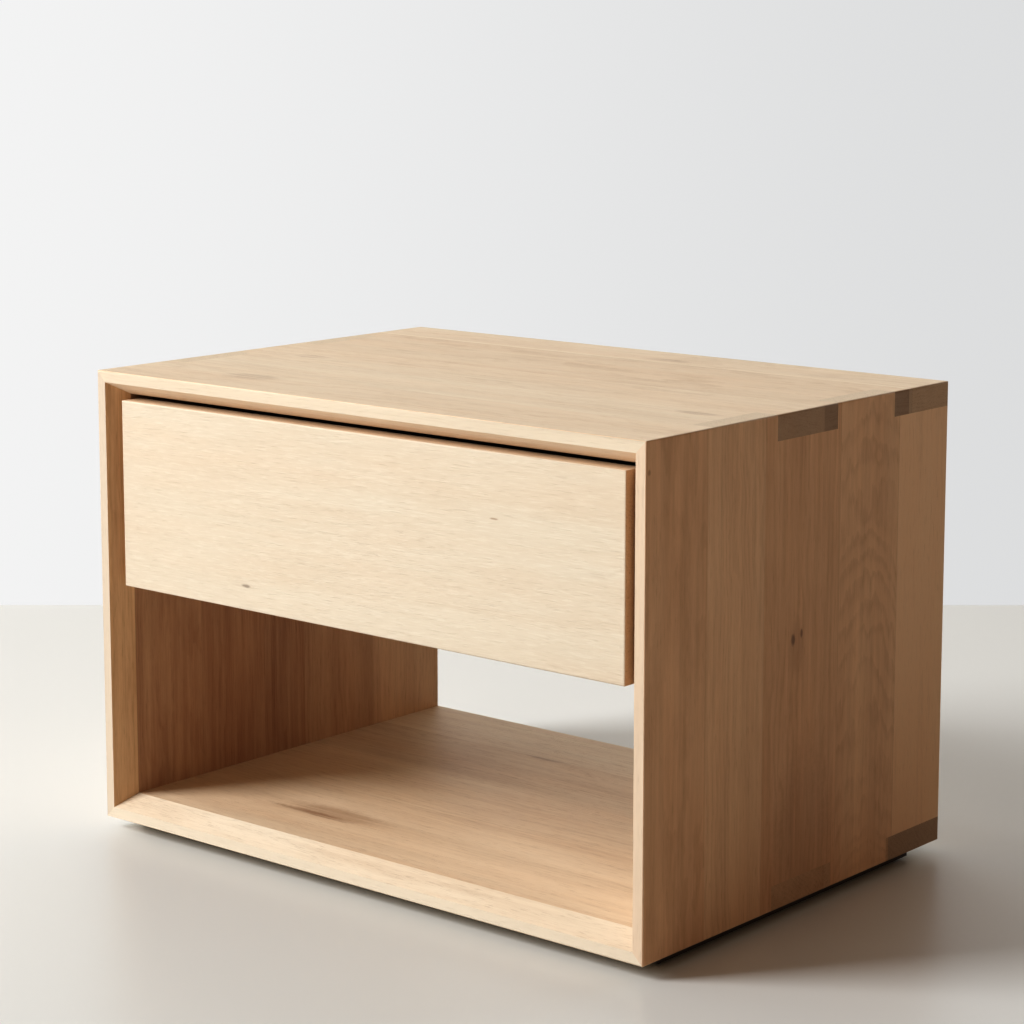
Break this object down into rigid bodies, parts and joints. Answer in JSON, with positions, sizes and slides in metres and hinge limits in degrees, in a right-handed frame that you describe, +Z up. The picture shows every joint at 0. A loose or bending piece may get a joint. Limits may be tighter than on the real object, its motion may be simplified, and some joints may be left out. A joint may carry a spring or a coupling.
{
  "type": "nightstand with one drawer",
  "caption": "Low solid-oak nightstand: a finger-jointed open box with a bevelled front frame, a handle-less drawer on ball-bearing slides above an open compartment, and a recessed plinth.",
  "frame": {"origin": "on the floor plane under the middle of the nightstand, at the bottom centre of its bounding box", "axes": "+X to the right as seen by a person facing the drawer, -Y out of the front, +Y to the back, +Z up"},
  "size_m": [0.575, 0.4, 0.393],
  "materials": {
    "oak_case": "matt clear oil on solid oak",
    "oak_front": "matt clear oil on pale quarter-sawn oak",
    "oak_box": "matt lacquer on solid oak",
    "plywood": "matt lacquer on plywood",
    "dark_base": "dark matt stain",
    "zinc_steel": "bright zinc plate",
    "ball_steel": "polished",
    "felt": "pressed felt",
    "buffer_rubber": "matt"
  },
  "bodies": {
    "case": {"top_panel": "oak_case", "bottom_panel": "oak_case", "left_side_panel": "oak_case", "right_side_panel": "oak_case", "back_panel": "oak_case", "plinth_front_rail": "dark_base", "plinth_back_rail": "dark_base", "plinth_left_rail": "dark_base", "plinth_right_rail": "dark_base", "plinth_screws": "zinc_steel", "felt_pads": "felt", "left_cabinet_member": "zinc_steel", "right_cabinet_member": "zinc_steel", "left_cabinet_screws": "zinc_steel", "right_cabinet_screws": "zinc_steel", "left_stop_buffer": "buffer_rubber", "right_stop_buffer": "buffer_rubber"},
    "drawer": {"drawer_front": "oak_front", "drawer_front_screws": "zinc_steel", "drawer_inner_front": "oak_box", "drawer_back": "oak_box", "drawer_left_side": "oak_box", "drawer_right_side": "oak_box", "drawer_bottom": "plywood", "left_drawer_member": "zinc_steel", "right_drawer_member": "zinc_steel", "left_drawer_screws": "zinc_steel", "right_drawer_screws": "zinc_steel"},
    "left_outer_bearing": {"left_outer_ball_cage": "zinc_steel", "left_outer_balls": "ball_steel"},
    "right_outer_bearing": {"right_outer_ball_cage": "zinc_steel", "right_outer_balls": "ball_steel"},
    "left_middle": {"left_middle_member": "zinc_steel"},
    "right_middle": {"right_middle_member": "zinc_steel"},
    "left_inner_bearing": {"left_inner_ball_cage": "zinc_steel", "left_inner_balls": "ball_steel"},
    "right_inner_bearing": {"right_inner_ball_cage": "zinc_steel", "right_inner_balls": "ball_steel"}
  },
  "joints": [
    {"name": "drawer_slide", "type": "slide", "parent": "case", "child": "drawer", "axis": [0, -1, 0], "range_m": [0, 0.3]},
    {"name": "left_outer_bearing_slide", "type": "slide", "parent": "case", "child": "left_outer_bearing", "axis": [0, -1, 0], "range_m": [0, 0.075]},
    {"name": "right_outer_bearing_slide", "type": "slide", "parent": "case", "child": "right_outer_bearing", "axis": [0, -1, 0], "range_m": [0, 0.075]},
    {"name": "left_middle_slide", "type": "slide", "parent": "case", "child": "left_middle", "axis": [0, -1, 0], "range_m": [0, 0.15]},
    {"name": "right_middle_slide", "type": "slide", "parent": "case", "child": "right_middle", "axis": [0, -1, 0], "range_m": [0, 0.15]},
    {"name": "left_inner_bearing_slide", "type": "slide", "parent": "case", "child": "left_inner_bearing", "axis": [0, -1, 0], "range_m": [0, 0.225]},
    {"name": "right_inner_bearing_slide", "type": "slide", "parent": "case", "child": "right_inner_bearing", "axis": [0, -1, 0], "range_m": [0, 0.225]}
  ],
  "couplings": [
    {"joint": "left_outer_bearing_slide", "follows": "drawer_slide", "ratio": 0.25},
    {"joint": "right_outer_bearing_slide", "follows": "drawer_slide", "ratio": 0.25},
    {"joint": "left_middle_slide", "follows": "drawer_slide", "ratio": 0.5},
    {"joint": "right_middle_slide", "follows": "drawer_slide", "ratio": 0.5},
    {"joint": "left_inner_bearing_slide", "follows": "drawer_slide", "ratio": 0.75},
    {"joint": "right_inner_bearing_slide", "follows": "drawer_slide", "ratio": 0.75}
  ]
}
